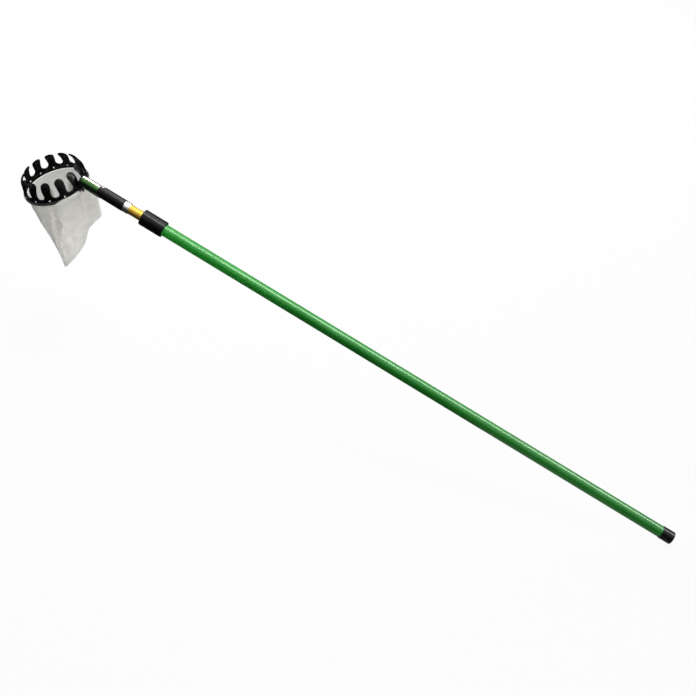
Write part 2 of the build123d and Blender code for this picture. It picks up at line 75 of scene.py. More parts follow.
# Axes of the pole and of the tilted picking ring: the hoop's middle stands a little above the rim
rimSet = {"tilt": 18.2, "hoopMiddle": 0.0025}
poleAlong = jointAxis("pole_extend")
poleSlope = asin(poleAlong.z)
rimTilt = radians(rimSet["tilt"])
rimUp = Vector((-sin(rimTilt), 0, cos(rimTilt)))
hoopLow, hoopHigh = (Vector(corner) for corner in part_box("rim_hoop"))
rimCentre = (hoopLow + hoopHigh) / 2 - rimUp * rimSet["hoopMiddle"]
rimFrame = Matrix.Translation(rimCentre) @ Matrix.Rotation(-rimTilt, 4, "Y")
print("frame loaded, rim at", [round(v, 4) for v in rimCentre])


def rimPlace(turn, radius, height):
    # a place on the tilted ring, with X pointing out from its middle
    return rimFrame @ Matrix.Rotation(turn, 4, "Z") @ Matrix.Translation((radius, 0, height))


# Modelling steps that the pieces share
def deselectAll():
    if bpy.context.mode != "OBJECT":
        bpy.ops.object.mode_set(mode="OBJECT")
    bpy.ops.object.select_all(action="DESELECT")


def pick(piece):
    deselectAll()
    piece.select_set(True)
    bpy.context.view_layer.objects.active = piece


def named(name):
    piece = bpy.context.object
    piece.name = name
    piece.data.name = name
    return piece


def startEdit(piece):
    pick(piece)
    bpy.ops.object.mode_set(mode="EDIT")
    bpy.ops.mesh.select_mode(type="VERT")
    bpy.ops.mesh.select_all(action="DESELECT")


def chooseVerts(piece, test):
    bpy.ops.mesh.select_all(action="DESELECT")
    bpy.ops.object.mode_set(mode="OBJECT")
    for vert in piece.data.vertices:
        vert.select = test(vert.co)
    bpy.ops.object.mode_set(mode="EDIT")


def endEdit():
    bpy.ops.object.mode_set(mode="OBJECT")


def mergeClose(piece, distance=0.000005):
    startEdit(piece)
    bpy.ops.mesh.select_all(action="SELECT")
    bpy.ops.mesh.remove_doubles(threshold=distance)
    endEdit()


def faceOutward(piece):
    startEdit(piece)
    bpy.ops.mesh.select_all(action="SELECT")
    bpy.ops.mesh.normals_make_consistent(inside=False)
    endEdit()


def modify(piece, kind, **settings):
    modifier = piece.modifiers.new(kind.title(), kind)
    for key, value in settings.items():
        setattr(modifier, key, value)
    pick(piece)
    bpy.ops.object.modifier_apply(modifier=modifier.name)


def settle(piece, place=None):
    if place is not None:
        piece.matrix_world = place
    pick(piece)
    bpy.ops.object.transform_apply(location=True, rotation=True, scale=True)


def shadeSoft(piece, angle):
    pick(piece)
    bpy.ops.object.shade_smooth_by_angle(angle=radians(angle))


def linked(name, mesh):
    piece = bpy.data.objects.new(name, mesh)
    scene.collection.objects.link(piece)
    return piece


def joined(pieces, name):
    deselectAll()
    for piece in pieces:
        piece.select_set(True)
    bpy.context.view_layer.objects.active = pieces[0]
    if len(pieces) > 1:
        bpy.ops.object.join()
    return named(name)


def copyOf(piece, place):
    twin = linked(piece.name, piece.data.copy())
    settle(twin, place)
    return twin


def turned(name, profile, steps, closed=False):
    # spins a profile of radius and height about the upright axis
    mesh = bpy.data.meshes.new(name)
    ends = len(profile) if closed else len(profile) - 1
    edges = [(i, (i + 1) % len(profile)) for i in range(ends)]
    mesh.from_pydata([(radius, 0, height) for radius, height in profile], edges, [])
    piece = linked(name, mesh)
    startEdit(piece)
    bpy.ops.mesh.select_all(action="SELECT")
    bpy.ops.mesh.spin(steps=steps, angle=2 * pi, center=(0, 0, 0), axis=(0, 0, 1))
    endEdit()
    mergeClose(piece)
    faceOutward(piece)
    return piece


# Nodes that the studio and the finishes share
def feed(tree, socket, value):
    # a number is set on the socket, and another node's output is linked to it
    if isinstance(value, (int, float)):
        socket.default_value = value
    else:
        tree.links.new(value, socket)


def mathNode(tree, operation, first, second=0):
    node = tree.nodes.new("ShaderNodeMath")
    node.operation = operation
    feed(tree, node.inputs[0], first)
    feed(tree, node.inputs[1], second)
    return node.outputs[0]


def noiseNode(tree, vector, scale, detail, rough):
    node = tree.nodes.new("ShaderNodeTexNoise")
    node.inputs["Detail"].default_value = detail
    node.inputs["Roughness"].default_value = rough
    feed(tree, node.inputs["Vector"], vector)
    feed(tree, node.inputs["Scale"], scale)
    return node.outputs["Fac"]


def rangeNode(tree, value, low, high, toLow, toHigh):
    node = tree.nodes.new("ShaderNodeMapRange")
    feed(tree, node.inputs["Value"], value)
    for label, number in zip(("From Min", "From Max", "To Min", "To Max"), (low, high, toLow, toHigh)):
        node.inputs[label].default_value = number
    return node.outputs["Result"]


def maskNode(tree, value, low, high):
    return rangeNode(tree, value, low, high, 0, 1)


def spreadNode(tree, mask, middle, spread):
    # goes from a little under the middle value to a little over it
    return rangeNode(tree, mask, 0, 1, middle - spread[0], middle + spread[1])


def mixShader(tree, share, first, second):
    node = tree.nodes.new("ShaderNodeMixShader")
    for socket, value in zip(node.inputs, (share, first, second)):
        feed(tree, socket, value)
    return node.outputs["Shader"]


def seenDirectly(tree):
    # camera, mirror and see-through rays all meet the plain white background
    path = tree.nodes.new("ShaderNodeLightPath")
    direct = mathNode(tree, "MAXIMUM", path.outputs["Is Camera Ray"], path.outputs["Is Glossy Ray"])
    return mathNode(tree, "MAXIMUM", direct, path.outputs["Is Transmission Ray"])


# Camera, at the photograph's viewing angle
cameraSet = {
    "place": (-0.24934, -1.54694, 2.04717),
    "aim": (-0.69372, -0.17128, 0.38874),
    "roll": 8.081,
    "lens": 62.07,
    "sensor": 36,
    "farthest": 40,
}
cameraAim = Vector(cameraSet["aim"]) - Vector(cameraSet["place"])
cameraTurn = cameraAim.to_track_quat("-Z", "Y") @ Quaternion((0, 0, 1), radians(cameraSet["roll"]))
bpy.ops.object.camera_add(location=cameraSet["place"], rotation=cameraTurn.to_euler())
camera = bpy.context.object
camera.name = "photoCamera"
camera.data.lens = cameraSet["lens"]
camera.data.sensor_width = cameraSet["sensor"]
camera.data.clip_end = cameraSet["farthest"]
scene.camera = camera
print("camera placed")


# Studio: soft lamps, a white floor that keeps the shadow, and grey cards that only reflections see
lampSet = {
    "key": {"place": (-1.30, 0.75, 1.90), "aim": (-1.00, 0, 0.25), "size": (1.3, 0.6), "watts": 27},
    "fill": {"place": (-0.60, -1.8, 1.6), "aim": (-0.60, 0, 0.15), "size": (2.2, 0.8), "watts": 2.5},
    "back": {"place": (-0.90, 2.0, 0.80), "aim": (-1.15, 0, 0.25), "size": (1.8, 0.8), "watts": 18},
    "head": {"place": (-3.30, 0.90, 0.90), "aim": (-1.60, 0, 0.25), "size": (1.2, 1.0), "watts": 15},
    # this spot lights the head where the drawn-out pole takes it
    "reach": {"place": (-0.75, -1.90, 0.60), "aim": (-2.40, 0, 0.47), "cone": 12, "soft": 0.20, "watts": 230},
    "butt": {"place": (0.20, -1.3, 0.45), "aim": (-0.10, 0, 0.05), "size": (0.8, 0.8), "watts": 2.5},
    "bag": {"place": (0.55, -1.15, 0.18), "aim": (-1.44, 0, 0.22), "cone": 10, "soft": 0.20, "watts": 250},
    "tip": {"place": (-0.60, -1.80, 0.12), "aim": (-1.436, 0, 0.075), "cone": 6, "soft": 0.15, "watts": 155},
    "crown": {"place": (-1.50, -1.20, 1.70), "aim": (-1.47, 0.05, 0.34), "cone": 8, "soft": 0.15, "watts": 16},
}
spotEdge = 0.6  # the share of a spot's cone that fades out


def addLamp(name, lamp):
    turn = (Vector(lamp["aim"]) - Vector(lamp["place"])).to_track_quat("-Z", "Y")
    kind = "SPOT" if "cone" in lamp else "AREA"
    bpy.ops.object.light_add(type=kind, location=lamp["place"], rotation=turn.to_euler())
    light = bpy.context.object
    light.name = name + "Lamp"
    light.data.energy = lamp["watts"]
    if kind == "SPOT":
        light.data.spot_size = radians(lamp["cone"])
        light.data.spot_blend = spotEdge
        light.data.shadow_soft_size = lamp["soft"]
    else:
        light.data.shape = "RECTANGLE"
        light.data.size, light.data.size_y = lamp["size"]
    light.visible_glossy = False  # reflections see the cards instead


for lampName, lampFacts in lampSet.items():
    addLamp(lampName, lampFacts)

worldSet = {"ambient": 0.06, "background": 1.0}
world = bpy.data.worlds.new("studioWorld")
world.use_nodes = True
scene.world = world
worldTree = world.node_tree
backdropGlow = worldTree.nodes["Background"]
backdropGlow.inputs["Color"].default_value = (1, 1, 1, 1)
backdropSeen = seenDirectly(worldTree)
backdropLevel = rangeNode(worldTree, backdropSeen, 0, 1, worldSet["ambient"], worldSet["background"])
feed(worldTree, backdropGlow.inputs["Strength"], backdropLevel)

# The floor fades into the white background over the distances of fade, and is see-through from below
floorSet = {
    "size": 60, "middle": -0.7, "drop": 0.0005, "colour": (0.93, 0.93, 0.93, 1), "rough": 0.9,
    "fade": (2.0, 9.0, 0.95, 1.0),
}
bpy.ops.mesh.primitive_plane_add(
    size=floorSet["size"], location=(floorSet["middle"], 0, cadBox[0][2] - floorSet["drop"])
)
floor = named("studioFloor")
floorPaint = bpy.data.materials.new("floorPaint")
floorPaint.use_nodes = True
floorTree = floorPaint.node_tree
floorMatt = floorTree.nodes["Principled BSDF"]
floorMatt.inputs["Base Color"].default_value = floorSet["colour"]
floorMatt.inputs["Roughness"].default_value = floorSet["rough"]
floorMatt.inputs["Specular IOR Level"].default_value = 0
floorGlow = floorTree.nodes.new("ShaderNodeEmission")
floorSpot = floorTree.nodes.new("ShaderNodeTexCoord")
floorReach = floorTree.nodes.new("ShaderNodeVectorMath")
floorReach.operation = "LENGTH"
feed(floorTree, floorReach.inputs[0], floorSpot.outputs["Object"])
floorFade = rangeNode(floorTree, floorReach.outputs["Value"], *floorSet["fade"])
floorShare = mathNode(floorTree, "MULTIPLY", seenDirectly(floorTree), floorFade)
floorSide = floorTree.nodes.new("ShaderNodeNewGeometry")
floorClear = floorTree.nodes.new("ShaderNodeBsdfTransparent")
floorTop = mixShader(floorTree, floorShare, floorMatt.outputs["BSDF"], floorGlow.outputs["Emission"])
floorBoth = mixShader(floorTree, floorSide.outputs["Backfacing"], floorTop, floorClear.outputs["BSDF"])
feed(floorTree, floorTree.nodes["Material Output"].inputs["Surface"], floorBoth)
floor.data.materials.append(floorPaint)
floor.visible_diffuse = False

# Angles go round the pole's length from the camera's side at 0, over the top at 90, to the back at 180
cardSet = {
    "radius": 2.6, "middle": (-0.7, 0, 0.2), "length": 9.0, "steps": 10,
    # arcs: from and to angle, and glow
    "arcs": {
        "frontLow": (-12, 18, 0.04), "frontMiddle": (18, 42, 0.16), "frontHigh": (42, 64, 0.70),
        "overhead": (64, 104, 1.05), "backHigh": (104, 165, 0.85), "backLow": (165, 205, 0.02),
    },
    # strips slant back from the head to the butt: glow, then place along the pole, angle and half width
    "strips": {
        "metalStrip": (0.85, [(-5.2, 128, 12), (-1.68, 128, 12)]),
        "poleStrip": (13.0, [
            (-1.58, 136, 8), (-1.31, 134, 8), (-1.22, 101, 10), (-0.75, 101, 9),
            (0.0, 122, 10), (0.67, 131, 14), (3.8, 136, 12),
        ]),
    },
    "stripInset": 0.1, "stripSteps": 4,
    # floors: from and to place along the pole, and glow
    "floors": {"headFloor": (-9.0, -0.45, 0.03), "buttFloor": (-0.45, 8.0, 0.35)},
    "floorDepth": (-3.0, 2.6), "floorLift": 0.001,
    "lampFrom": 2,  # a card that glows more than this is sampled as a lamp
}


def cardPoint(place, turn, radius):
    middle = cardSet["middle"]
    return (place, middle[1] - radius * cos(radians(turn)), middle[2] + radius * sin(radians(turn)))


def addCard(name, points, grey):
    card = named(name)
    for vert, point in zip(card.data.vertices, points):
        vert.co = point
    glow = bpy.data.materials.new(name)
    glow.use_nodes = True
    lamp = glow.node_tree.nodes.new("ShaderNodeEmission")
    lamp.inputs["Strength"].default_value = grey
    surface = glow.node_tree.nodes["Material Output"].inputs["Surface"]
    feed(glow.node_tree, surface, lamp.outputs["Emission"])
    glow.cycles.emission_sampling = "AUTO" if grey > cardSet["lampFrom"] else "NONE"
    card.data.materials.append(glow)
    card.visible_camera = False
    card.visible_diffuse = False
    card.visible_shadow = False
    card.visible_transmission = False


for cardName, (cardFrom, cardTo, cardGrey) in cardSet["arcs"].items():
    bpy.ops.mesh.primitive_grid_add(x_subdivisions=1, y_subdivisions=cardSet["steps"], size=1)
    cardPoints = []
    for cardVert in bpy.context.object.data.vertices:
        cardPlace = cardSet["middle"][0] + cardVert.co.x * cardSet["length"]
        cardTurn = cardFrom + (cardVert.co.y + 0.5) * (cardTo - cardFrom)
        cardPoints.append(cardPoint(cardPlace, cardTurn, cardSet["radius"]))
    addCard(cardName + "Card", cardPoints, cardGrey)
for cardName, (cardGrey, stations) in cardSet["strips"].items():
    bpy.ops.mesh.primitive_grid_add(
        x_subdivisions=len(stations) - 1, y_subdivisions=cardSet["stripSteps"], size=1
    )
    cardPoints = []
    for cardVert in bpy.context.object.data.vertices:
        cardPlace, cardTurn, cardHalf = stations[round((cardVert.co.x + 0.5) * (len(stations) - 1))]
        cardTurn += 2 * cardVert.co.y * cardHalf
        cardPoints.append(cardPoint(cardPlace, cardTurn, cardSet["radius"] - cardSet["stripInset"]))
    addCard(cardName + "Card", cardPoints, cardGrey)
for cardName, (cardFrom, cardTo, cardGrey) in cardSet["floors"].items():
    bpy.ops.mesh.primitive_plane_add(size=1)
    cardPoints = []
    for cardVert in bpy.context.object.data.vertices:
        cardPlace = cardTo if cardVert.co.x > 0 else cardFrom
        cardDepth = cardSet["floorDepth"][1 if cardVert.co.y > 0 else 0]
        cardPoints.append((cardPlace, cardDepth, cadBox[0][2] + cardSet["floorLift"]))
    addCard(cardName + "Card", cardPoints, cardGrey)
print("studio built")


# Shared effects, built once as node groups
def newGroup(name, ins, outs):
    group = bpy.data.node_groups.new(name, "ShaderNodeTree")
    group.interface.new_socket(name="Vector", in_out="INPUT", socket_type="NodeSocketVector")
    for label, value in ins.items():
        socket = group.interface.new_socket(name=label, in_out="INPUT", socket_type="NodeSocketFloat")
        socket.default_value = value
    for label in outs:
        group.interface.new_socket(name=label, in_out="OUTPUT", socket_type="NodeSocketFloat")
    return group, group.nodes.new("NodeGroupInput").outputs, group.nodes.new("NodeGroupOutput").inputs


# Noises are given by their detail and roughness, and masks by the levels at which they are 0 and 1
grainSet = {
    "fine": (3.0, 0.6), "middle": (2.0, 0.5), "broad": (3.0, 0.55), "middleShare": 0.12, "broadScale": 14.0,
    "tone": (0.3, 0.7), "patch": (0.35, 0.65),
}
grainGroup, grainIn, grainOut = newGroup("finishGrain", {"Scale": 900.0}, ["Height", "Tone", "Patch"])
grainFine = noiseNode(grainGroup, grainIn["Vector"], grainIn["Scale"], *grainSet["fine"])
grainCoarse = mathNode(grainGroup, "MULTIPLY", grainIn["Scale"], grainSet["middleShare"])
grainMiddle = noiseNode(grainGroup, grainIn["Vector"], grainCoarse, *grainSet["middle"])
grainBroad = noiseNode(grainGroup, grainIn["Vector"], grainSet["broadScale"], *grainSet["broad"])
feed(grainGroup, grainOut["Height"], grainFine)
feed(grainGroup, grainOut["Tone"], maskNode(grainGroup, grainMiddle, *grainSet["tone"]))
feed(grainGroup, grainOut["Patch"], maskNode(grainGroup, grainBroad, *grainSet["patch"]))

drawSet = {
    "fine": (2.0, 0.6), "rare": (1.0, 0.5), "rareShare": 0.45, "lines": (0.3, 0.7), "scuff": (0.68, 0.78),
}
drawGroup, drawIn, drawOut = newGroup("drawLines", {"Scale": 700.0, "Length": 0.02}, ["Lines", "Scuff"])
drawSplit = drawGroup.nodes.new("ShaderNodeSeparateXYZ")
feed(drawGroup, drawSplit.inputs["Vector"], drawIn["Vector"])
drawStretch = drawGroup.nodes.new("ShaderNodeCombineXYZ")
drawLong = mathNode(drawGroup, "MULTIPLY", drawSplit.outputs["X"], drawIn["Length"])
feed(drawGroup, drawStretch.inputs["X"], drawLong)
feed(drawGroup, drawStretch.inputs["Y"], drawSplit.outputs["Y"])
feed(drawGroup, drawStretch.inputs["Z"], drawSplit.outputs["Z"])
drawFine = noiseNode(drawGroup, drawStretch.outputs["Vector"], drawIn["Scale"], *drawSet["fine"])
drawCoarse = mathNode(drawGroup, "MULTIPLY", drawIn["Scale"], drawSet["rareShare"])
drawRare = noiseNode(drawGroup, drawStretch.outputs["Vector"], drawCoarse, *drawSet["rare"])
feed(drawGroup, drawOut["Lines"], maskNode(drawGroup, drawFine, *drawSet["lines"]))
feed(drawGroup, drawOut["Scuff"], maskNode(drawGroup, drawRare, *drawSet["scuff"]))

weaveSet = {
    "cloudScale": 16.0, "clouds": (4.0, 0.6), "height": (-1, 1), "mesh": (-0.6, 0.4), "cloud": (0.3, 0.7),
}
weaveGroup, weaveIn, weaveOut = newGroup(
    "plainWeave", {"Across": 380.0, "Down": 260.0}, ["Height", "Mesh", "Cloud"]
)
weaveSplit = weaveGroup.nodes.new("ShaderNodeSeparateXYZ")
feed(weaveGroup, weaveSplit.inputs["Vector"], weaveIn["Vector"])


def weaveThread(place, count):
    turns = mathNode(weaveGroup, "MULTIPLY", count, 2 * pi)
    return mathNode(weaveGroup, "SINE", mathNode(weaveGroup, "MULTIPLY", place, turns))


weaveWarp = weaveThread(weaveSplit.outputs["X"], weaveIn["Across"])
weaveWeft = weaveThread(weaveSplit.outputs["Y"], weaveIn["Down"])
weaveThreads = mathNode(weaveGroup, "MAXIMUM", weaveWarp, weaveWeft)
weaveClouds = noiseNode(weaveGroup, weaveIn["Vector"], weaveSet["cloudScale"], *weaveSet["clouds"])
feed(weaveGroup, weaveOut["Height"], maskNode(weaveGroup, weaveThreads, *weaveSet["height"]))
feed(weaveGroup, weaveOut["Mesh"], maskNode(weaveGroup, weaveThreads, *weaveSet["mesh"]))
feed(weaveGroup, weaveOut["Cloud"], maskNode(weaveGroup, weaveClouds, *weaveSet["cloud"]))
print("node groups built")


# Finishes of the picker's pieces: sockets are the shader's values that are the same all over
clothSockets = {"Roughness": 0.75, "Specular IOR Level": 0.25, "Sheen Weight": 0.15}
finishSet = {
    "greenCoat": {
        "dark": (0.020, 0.355, 0.030), "light": (0.028, 0.405, 0.040), "scuff": (0.08, 0.45, 0.11),
        "grain": 620.0, "lines": 420.0, "lineLength": 0.03, "scuffShare": 0.10,
        "rough": 0.34, "coat": 0.42, "bump": 0.003,
        "sockets": {"Specular IOR Level": 0.40, "Coat Roughness": 0.07},
    },
    "blackPlastic": {
        "dark": (0.0025, 0.0025, 0.0028), "light": (0.005, 0.005, 0.0055),
        "grain": 1500.0, "rough": 0.26, "bump": 0.08, "sockets": {"Specular IOR Level": 0.22},
    },
    "crownPlastic": {
        "dark": (0.002, 0.002, 0.0022), "light": (0.004, 0.004, 0.0044),
        "grain": 1800.0, "rough": 0.20, "bump": 0.04, "sockets": {"Specular IOR Level": 0.12},
    },
    "whiteNylon": {
        "dark": (0.86, 0.86, 0.85), "light": (0.94, 0.94, 0.93),
        "grain": 1800.0, "rough": 0.40, "bump": 0.05, "sockets": {"Specular IOR Level": 0.30},
    },
    "rimPlastic": {
        "dark": (0.030, 0.030, 0.032), "light": (0.055, 0.055, 0.058),
        "grain": 1600.0, "rough": 0.36, "bump": 0.10, "sockets": {"Specular IOR Level": 0.50},
    },
    "bagThread": {
        "dark": (0.62, 0.62, 0.60), "light": (0.78, 0.78, 0.76),
        "grain": 2500.0, "rough": 0.70, "bump": 0.40, "sockets": {"Specular IOR Level": 0.20},
    },
    "goldTube": {
        "dark": (0.60, 0.37, 0.050), "light": (0.70, 0.45, 0.082),
        "grain": 500.0, "lines": 260.0, "lineLength": 0.01, "rough": 0.52, "sockets": {"Metallic": 1.0},
    },
    "silverRing": {
        "dark": (0.74, 0.74, 0.74), "light": (0.90, 0.90, 0.89),
        "grain": 500.0, "lines": 900.0, "lineLength": 0.3, "rough": 0.16, "sockets": {"Metallic": 1.0},
    },
    "steel": {
        "dark": (0.52, 0.52, 0.53), "light": (0.70, 0.70, 0.70),
        "grain": 500.0, "lines": 1100.0, "lineLength": 0.4, "rough": 0.26, "sockets": {"Metallic": 1.0},
    },
    # painted highlight along the tube, a little behind its top, with a painted dark line of reflection at its
    # lower edge
    "greenLacquer": {
        "dark": (0.045, 0.145, 0.036), "light": (0.070, 0.20, 0.055),
        "edge": (0.16, 0.09, 0.03), "paintedLineLevel": (0.0097, 0.0099),
        "paintedHighlight": (0.88, 0.88, 0.82), "paintedHighlightLevel": (0.0102, 0.0104),
        "behind": 15, "waver": 0.0002, "grain": 500.0, "rough": 0.14,
        "sockets": {"Metallic": 1.0, "Coat Weight": 0.4, "Coat Roughness": 0.06},
    },
    # cover is how much the cloth hides, between the threads and on them
    "bagCloth": {
        "dark": (0.63, 0.62, 0.575), "light": (0.77, 0.76, 0.71),
        "across": 380.0, "down": 260.0, "cover": (0.62, 0.76), "sockets": clothSockets,
    },
    "hemCloth": {
        "dark": (0.74, 0.735, 0.70), "light": (0.82, 0.815, 0.78),
        "across": 105.0, "down": 12.0, "cover": (0.90, 0.98), "sockets": clothSockets,
    },
}


def newFinish(name):
    facts = finishSet[name]
    finish = bpy.data.materials.new(name)
    finish.use_nodes = True
    shader = finish.node_tree.nodes["Principled BSDF"]
    for label, value in facts["sockets"].items():
        shader.inputs[label].default_value = value
    return facts, finish, finish.node_tree, shader


def objectVector(tree, along=False):
    place = tree.nodes.new("ShaderNodeTexCoord")
    if not along:
        return place.outputs["Object"]
    turn = tree.nodes.new("ShaderNodeMapping")  # the pole's length becomes the pattern's X
    turn.inputs["Rotation"].default_value = (0, -poleSlope, 0)
    feed(tree, turn.inputs["Vector"], place.outputs["Object"])
    return turn.outputs["Vector"]


def groupNode(tree, group, vector, **values):
    node = tree.nodes.new("ShaderNodeGroup")
    node.node_tree = group
    feed(tree, node.inputs["Vector"], vector)
    for label, value in values.items():
        node.inputs[label].default_value = value
    return node.outputs


def blendColour(tree, mask, low, high):
    mix = tree.nodes.new("ShaderNodeMix")
    mix.data_type = "RGBA"
    feed(tree, mix.inputs["Factor"], mask)
    for socket, colour in ((mix.inputs[6], low), (mix.inputs[7], high)):
        if isinstance(colour, tuple):
            socket.default_value = (*colour, 1)
        else:
            feed(tree, socket, colour)
    return mix.outputs[2]


def bumpFrom(tree, height, strength, distance, shader):
    bump = tree.nodes.new("ShaderNodeBump")
    bump.inputs["Strength"].default_value = strength
    bump.inputs["Distance"].default_value = distance
    feed(tree, bump.inputs["Height"], height)
    feed(tree, shader.inputs["Normal"], bump.outputs["Normal"])


def coatFinish(name, roughSpread=(0.03, 0.04), coatSpread=(0.08, 0.08), depth=0.0001):
    facts, finish, tree, shader = newFinish(name)
    vector = objectVector(tree, along=True)
    grain = groupNode(tree, grainGroup, vector, Scale=facts["grain"])
    lines = groupNode(tree, drawGroup, vector, Scale=facts["lines"], Length=facts["lineLength"])
    body = blendColour(tree, grain["Patch"], facts["dark"], facts["light"])
    scuffed = mathNode(tree, "MULTIPLY", lines["Scuff"], facts["scuffShare"])
    feed(tree, shader.inputs["Base Color"], blendColour(tree, scuffed, body, facts["scuff"]))
    feed(tree, shader.inputs["Roughness"], spreadNode(tree, grain["Tone"], facts["rough"], roughSpread))
    feed(tree, shader.inputs["Coat Weight"], spreadNode(tree, grain["Patch"], facts["coat"], coatSpread))
    bumpFrom(tree, grain["Tone"], facts["bump"], depth, shader)
    return finish


def mouldedFinish(name, roughSpread=(0.05, 0.06), depth=0.0001):
    facts, finish, tree, shader = newFinish(name)
    grain = groupNode(tree, grainGroup, objectVector(tree), Scale=facts["grain"])
    body = blendColour(tree, grain["Patch"], facts["dark"], facts["light"])
    feed(tree, shader.inputs["Base Color"], body)
    feed(tree, shader.inputs["Roughness"], spreadNode(tree, grain["Tone"], facts["rough"], roughSpread))
    bumpFrom(tree, grain["Height"], facts["bump"], depth, shader)
    return finish


def metalFinish(name, roughSpread=(0.04, 0.06), bump=0.05, depth=0.00005):
    facts, finish, tree, shader = newFinish(name)
    vector = objectVector(tree, along=True)
    lines = groupNode(tree, drawGroup, vector, Scale=facts["lines"], Length=facts["lineLength"])
    grain = groupNode(tree, grainGroup, vector, Scale=facts["grain"])
    tone = mathNode(tree, "MULTIPLY", mathNode(tree, "ADD", lines["Lines"], grain["Patch"]), 0.5)
    feed(tree, shader.inputs["Base Color"], blendColour(tree, tone, facts["dark"], facts["light"]))
    feed(tree, shader.inputs["Roughness"], spreadNode(tree, tone, facts["rough"], roughSpread))
    bumpFrom(tree, lines["Lines"], bump, depth, shader)
    return finish


def lacquerFinish(name, roughSpread=(0.03, 0.05)):
    facts, finish, tree, shader = newFinish(name)
    vector = objectVector(tree, along=True)
    grain = groupNode(tree, grainGroup, vector, Scale=facts["grain"])
    body = blendColour(tree, grain["Patch"], facts["dark"], facts["light"])
    split = tree.nodes.new("ShaderNodeSeparateXYZ")
    feed(tree, split.inputs["Vector"], vector)
    # a band along the tube's top, turned a little to the back, is painted as a highlight, with a painted dark
    # line of reflection below it
    waver = spreadNode(tree, grain["Patch"], 0, (facts["waver"], facts["waver"]))
    raised = mathNode(tree, "MULTIPLY", split.outputs["Z"], cos(radians(facts["behind"])))
    behind = mathNode(tree, "MULTIPLY", split.outputs["Y"], sin(radians(facts["behind"])))
    level = mathNode(tree, "ADD", mathNode(tree, "ADD", raised, behind), waver)
    paintedLined = blendColour(tree, maskNode(tree, level, *facts["paintedLineLevel"]), body, facts["edge"])
    highlighted = blendColour(tree, maskNode(tree, level, *facts["paintedHighlightLevel"]), paintedLined, facts["paintedHighlight"])
    feed(tree, shader.inputs["Base Color"], highlighted)
    feed(tree, shader.inputs["Roughness"], spreadNode(tree, grain["Tone"], facts["rough"], roughSpread))
    return finish


def clothFinish(name, bump=0.25, depth=0.0002):
    facts, finish, tree, shader = newFinish(name)
    vector = tree.nodes.new("ShaderNodeUVMap").outputs["UV"]
    weave = groupNode(tree, weaveGroup, vector, Across=facts["across"], Down=facts["down"])
    body = blendColour(tree, weave["Cloud"], facts["dark"], facts["light"])
    feed(tree, shader.inputs["Base Color"], body)
    feed(tree, shader.inputs["Alpha"], rangeNode(tree, weave["Mesh"], 0, 1, *facts["cover"]))
    bumpFrom(tree, weave["Height"], bump, depth, shader)
    return finish


finishMakers = {
    coatFinish: ["greenCoat"],
    mouldedFinish: ["blackPlastic", "crownPlastic", "whiteNylon", "rimPlastic", "bagThread"],
    metalFinish: ["goldTube", "silverRing", "steel"],
    lacquerFinish: ["greenLacquer"],
    clothFinish: ["bagCloth", "hemCloth"],
}
finishes = {name: maker(name) for maker, names in finishMakers.items() for name in names}


def dress(piece, finish):
    piece.data.materials.clear()
    piece.data.materials.append(finishes[finish])


nodeFinish = {
    "greenCoat": ["outer_tube"],
    "blackPlastic": [
        "butt_cap", "guide_collar", "tip_ferrule", "spindle_plug", "socket_bush", "clamp_ring",
        "head_bracket", "bracket_rivets",
    ],
    "crownPlastic": ["crown"],
    "whiteNylon": ["guide_bush", "expander_sleeve", "cone_nut", "bag_rivets"],
    "rimPlastic": ["rim_hoop"],
    "goldTube": ["inner_tube"],
    "silverRing": ["ferrule_ring"],
    "steel": ["lock_spindle", "spindle_stop", "plug_pin", "snap_button", "button_spring", "tube_screw"],
    "greenLacquer": ["head_tube"],
    "bagCloth": ["bag"],
}
for finishName, nodeNames in nodeFinish.items():
    for nodeName in nodeNames:
        nodePiece = frame["nodes"][nodeName]
        if not nodePiece.material_slots:
            nodePiece.data.materials.append(finishes[finishName])
        for nodeSlot in nodePiece.material_slots:
            nodeSlot.material = finishes[finishName]
print("finishes made")


# Crown: one finger with its piece of band, drawn flat, repeated thirteen times and bent into a ring
crownSet = {
    "radius": 0.068, "wall": 0.0026, "fingers": 13, "clock": 4.0,
    "band": 0.0115, "height": 0.045, "straight": 0.022, "inset": 0.012,
    "gap": 0.0082, "gapCentre": 0.0197, "tipGap": 0.0052, "tipStart": 0.0396,
    "columns": 8, "dome": 0.0010, "domeRise": 0.008, "crease": 0.80, "smooth": 2, "shade": 60,
    # rows: heights in the band, angles round the gap's foot, shares of the side, angles over the tip
    "bandRows": (0, 0.003, 0.006, 0.009), "gapRows": (18, 36, 54, 72, 90),
    "sideRows": (0.25, 0.5, 0.75, 1.0), "tipRows": (28, 50, 70, 84),
    "near": 1e-4, "aside": 2.0, "merge": 0.00005,
}


def fingerLean(height):
    reach = crownSet["height"] - crownSet["straight"]
    arc = (crownSet["inset"] ** 2 + reach ** 2) / (2 * crownSet["inset"])
    rise = min(max(0.0, height - crownSet["straight"]), reach)
    return arc * (1 - cos(asin(rise / arc)))


def fingerHalf(height):
    # half the finger's width, laid flat at the ring's full radius
    radius = crownSet["radius"] - fingerLean(height)
    if height <= crownSet["band"]:
        gap = 0.0
    elif height <= crownSet["gapCentre"]:
        gap = sqrt(max(0.0, crownSet["gap"] ** 2 - (crownSet["gapCentre"] - height) ** 2))
    else:
        share = min(1.0, (height - crownSet["gapCentre"]) / (crownSet["tipStart"] - crownSet["gapCentre"]))
        gap = crownSet["gap"] + share * (crownSet["tipGap"] - crownSet["gap"])
    return (radius * pi / crownSet["fingers"] - gap) * crownSet["radius"] / radius


